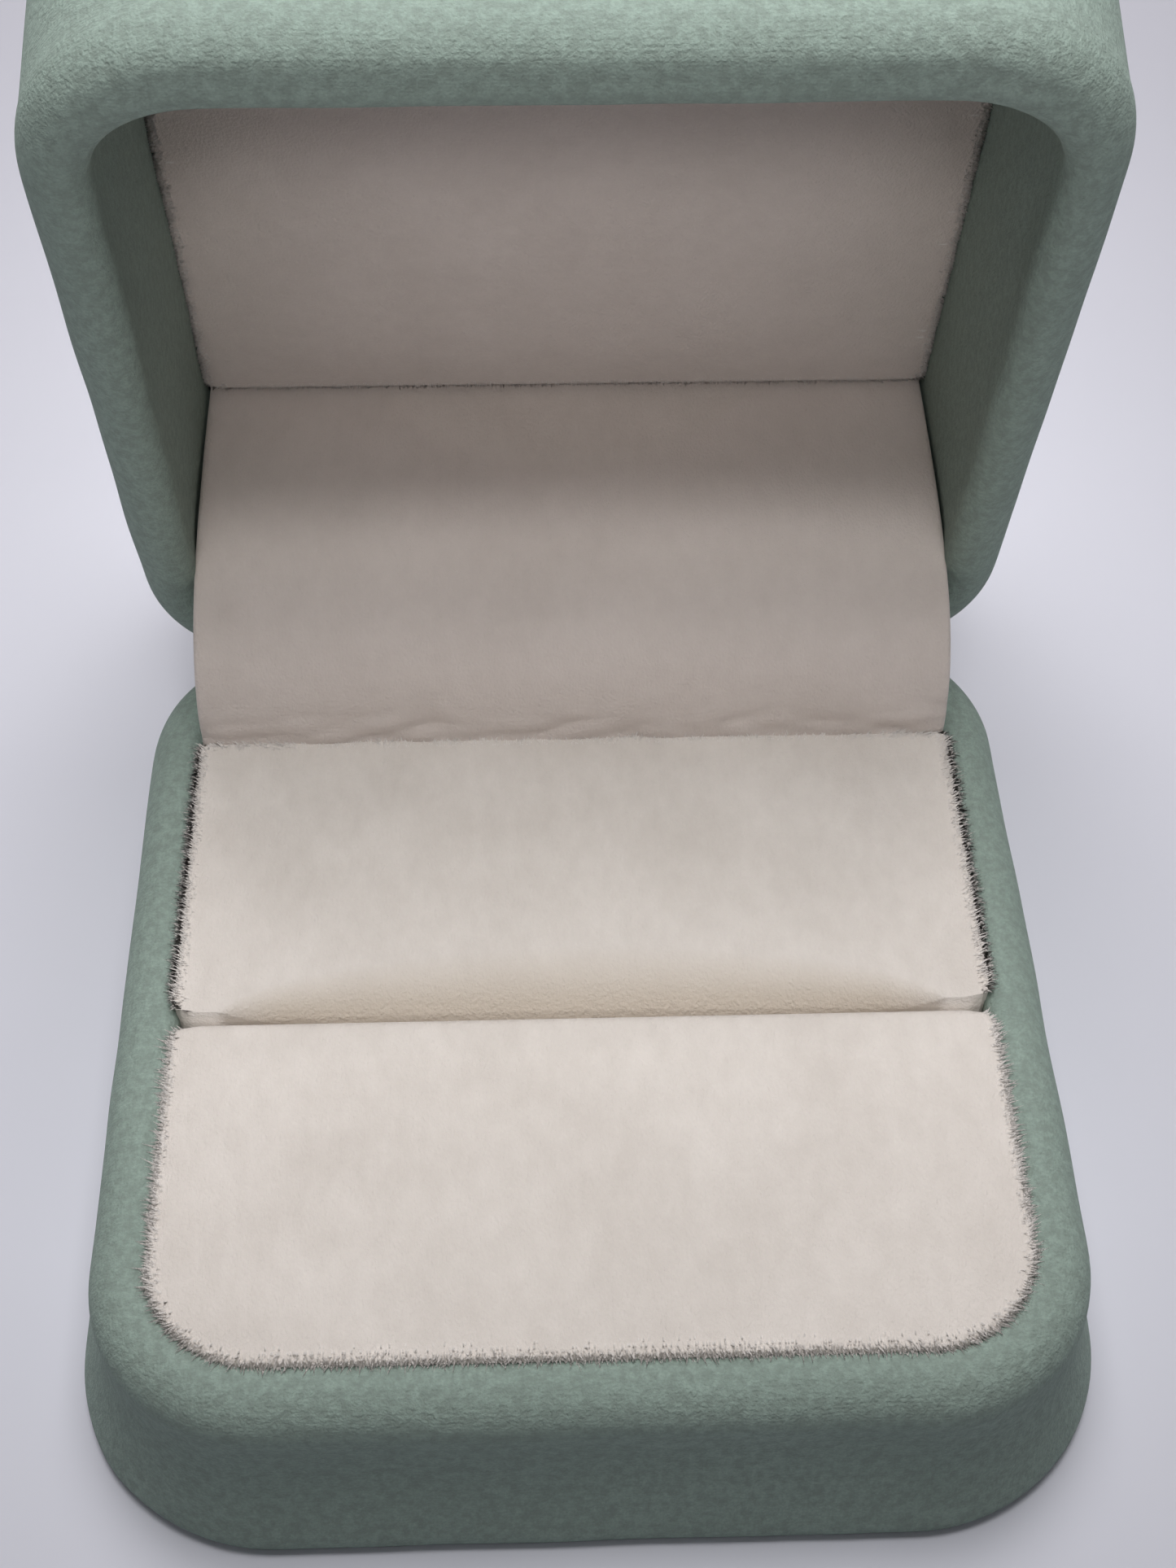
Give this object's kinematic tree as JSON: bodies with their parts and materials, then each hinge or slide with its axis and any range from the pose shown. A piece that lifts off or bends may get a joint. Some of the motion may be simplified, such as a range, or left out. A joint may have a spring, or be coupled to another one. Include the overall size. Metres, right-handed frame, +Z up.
{
  "type": "ring box",
  "caption": "Padded square ring box with a hinged lid, standing open: a soft-covered base with two velvet cushions and a ring slot between them, a padded lid and a velvet hinge flap.",
  "frame": {"origin": "middle of the base's flat underside", "axes": "+Z up, +Y towards the hinge at the back, +X to the right when looking into the open box"},
  "size_m": [0.0696, 0.0903, 0.0825],
  "materials": {
    "green_microfibre": "matt suede nap",
    "cream_velvet": "short soft pile",
    "foam": "open-cell foam",
    "core_plastic": "matt moulded",
    "greyboard": "pressed card",
    "underside_felt": "felt",
    "hinge_steel": "plated spring steel"
  },
  "bodies": {
    "base": {"base_shell": "core_plastic", "base_cover": "green_microfibre", "base_rim_padding": "foam", "base_underside_panel": "underside_felt", "cushion_board": "greyboard", "front_cushion_foam": "foam", "front_cushion_velvet": "cream_velvet", "rear_cushion_foam": "foam", "rear_cushion_velvet": "cream_velvet", "base_hinge_leaf": "hinge_steel", "base_leaf_rivets": "hinge_steel", "hinge_pin": "hinge_steel", "snap_spring": "hinge_steel", "hinge_flap_velvet": "cream_velvet", "hinge_flap_card": "greyboard"},
    "lid": {"lid_shell": "core_plastic", "lid_cover": "green_microfibre", "lid_rim_padding": "foam", "lid_top_padding": "foam", "lid_pad_board": "greyboard", "lid_pad_foam": "foam", "lid_pad_velvet": "cream_velvet", "lid_hinge_leaf": "hinge_steel", "lid_leaf_rivets": "hinge_steel"}
  },
  "joints": [
    {"name": "lid_hinge", "type": "hinge", "parent": "base", "child": "lid", "pos_m": [0, 0.03, 0.01565], "axis": [1, 0, 0], "range_deg": [0, 78], "deforming": ["hinge_flap_velvet", "hinge_flap_card", "snap_spring"]}
  ]
}
